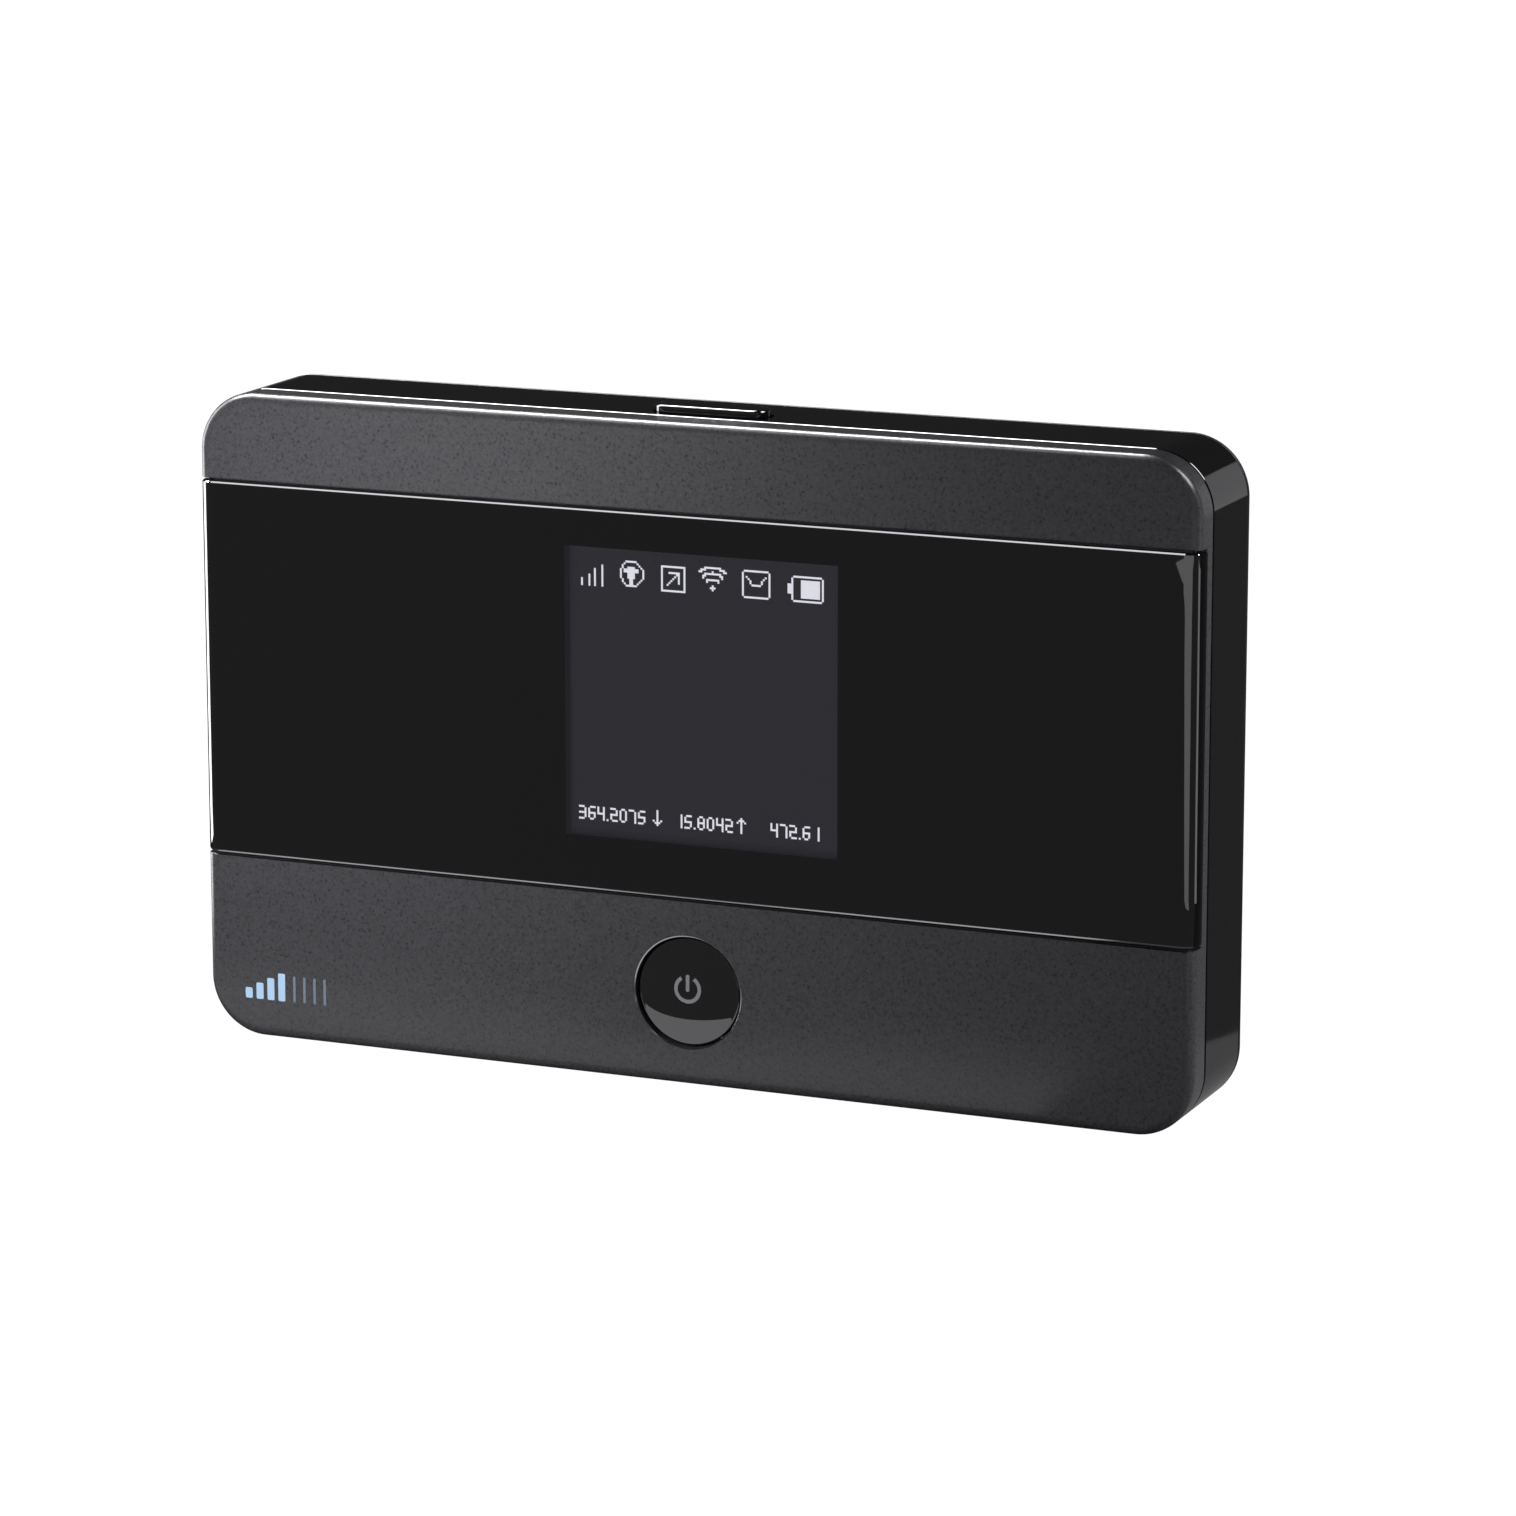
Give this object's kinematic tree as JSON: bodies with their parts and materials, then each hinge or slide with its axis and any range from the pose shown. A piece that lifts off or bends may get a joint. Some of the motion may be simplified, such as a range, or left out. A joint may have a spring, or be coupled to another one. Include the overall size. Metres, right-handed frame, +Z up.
{
  "type": "mobile hotspot",
  "caption": "Pocket wireless router with a lens panel around a small display, a power key, a menu key, a USB inlet and a clip-on rear cover over a removable battery.",
  "frame": {"origin": "middle of the body's outer box in X and Y, at the long lower edge that it stands on", "axes": "+X along the width, to the right of someone facing the display; +Y from the front to the back; +Z up"},
  "size_m": [0.1064, 0.0156, 0.0671],
  "materials": {
    "charcoal_shell": "fine-grained textured charcoal plastic",
    "lens": "clear hard-coated lens over black print",
    "mask": "black printed film",
    "gloss_band": "polished piano black",
    "chassis_plastic": "fine spark-eroded black",
    "cover_plastic": "satin black with a polished rim",
    "key_plastic": "polished black",
    "display_glass": "display behind its polariser, lit",
    "display_frame": "white moulded frame",
    "ribbon": "amber polyimide",
    "board": "solder-masked laminate",
    "shield": "tinned sheet",
    "chip": "moulded epoxy",
    "steel": "plated steel",
    "gold": "gold flash",
    "insulator": "filled black polymer",
    "battery_can": "aluminium can in a plain grey wrap",
    "battery_end": "moulded black end",
    "carrier": "natural moulded polymer",
    "antenna": "copper foil"
  },
  "bodies": {
    "housing": {"front_shell": "charcoal_shell", "lens_panel": "lens", "lens_mask": "mask", "side_band": "gloss_band", "chassis": "chassis_plastic", "display_glass": "display_glass", "display_backlight": "display_frame", "display_ribbon": "ribbon", "main_board": "board", "shield_modem": "shield", "shield_radio": "shield", "shield_wifi": "shield", "shield_power": "shield", "chip_baseband": "chip", "chip_memory": "chip", "chip_transceiver": "chip", "chip_amplifier": "chip", "chip_wifi": "chip", "chip_power": "chip", "usb_shell": "steel", "sim_socket_cover": "steel", "card_socket_cover": "steel", "screw_1": "steel", "screw_2": "steel", "screw_3": "steel", "screw_4": "steel", "screw_5": "steel", "screw_6": "steel", "battery_contact_1": "gold", "battery_contact_2": "gold", "battery_contact_3": "gold", "power_switch": "insulator", "menu_switch": "insulator", "reset_switch": "insulator", "ribbon_socket": "insulator", "usb_tongue": "insulator", "sim_socket_base": "insulator", "card_socket_base": "insulator", "battery_connector": "insulator", "antenna_carrier_diversity": "carrier", "antenna_carrier_main": "carrier", "antenna_diversity": "antenna", "antenna_main": "antenna", "antenna_wifi_a": "antenna", "antenna_wifi_b": "antenna"},
    "cover": {"rear_cover": "cover_plastic"},
    "battery_pack": {"battery_cell": "battery_can", "battery_end": "battery_end", "terminal_1": "gold", "terminal_2": "gold", "terminal_3": "gold"},
    "power_key_body": {"power_key": "key_plastic"},
    "power_plunger_body": {"power_plunger": "steel"},
    "menu_key_body": {"menu_key": "key_plastic"},
    "menu_plunger_body": {"menu_plunger": "steel"},
    "reset_plunger_body": {"reset_plunger": "steel"}
  },
  "joints": [
    {"name": "power_press", "type": "slide", "parent": "housing", "child": "power_key_body", "axis": [0, 1, 0], "range_m": [0, 0.00025], "stiffness_N_per_m": 6000},
    {"name": "power_plunger_press", "type": "slide", "parent": "housing", "child": "power_plunger_body", "axis": [0, 1, 0], "range_m": [0, 0.00025]},
    {"name": "menu_press", "type": "slide", "parent": "housing", "child": "menu_key_body", "axis": [0, 0, -1], "range_m": [0, 0.00025], "stiffness_N_per_m": 6000},
    {"name": "menu_plunger_press", "type": "slide", "parent": "housing", "child": "menu_plunger_body", "axis": [0, 0, -1], "range_m": [0, 0.00025]},
    {"name": "reset_press", "type": "slide", "parent": "housing", "child": "reset_plunger_body", "axis": [0, -1, 0], "range_m": [0, 0.0002], "stiffness_N_per_m": 6000},
    {"name": "cover_off", "type": "slide", "parent": "housing", "child": "cover", "axis": [0, 1, 0], "range_m": [0, 0.045]},
    {"name": "battery_out", "type": "slide", "parent": "housing", "child": "battery_pack", "axis": [0, 1, 0], "range_m": [0, 0.0205]}
  ],
  "couplings": [
    {"joint": "power_plunger_press", "follows": "power_press", "ratio": 1},
    {"joint": "menu_plunger_press", "follows": "menu_press", "ratio": 1},
    {"joint": "battery_out", "follows": "cover_off", "ratio": 0.45}
  ]
}
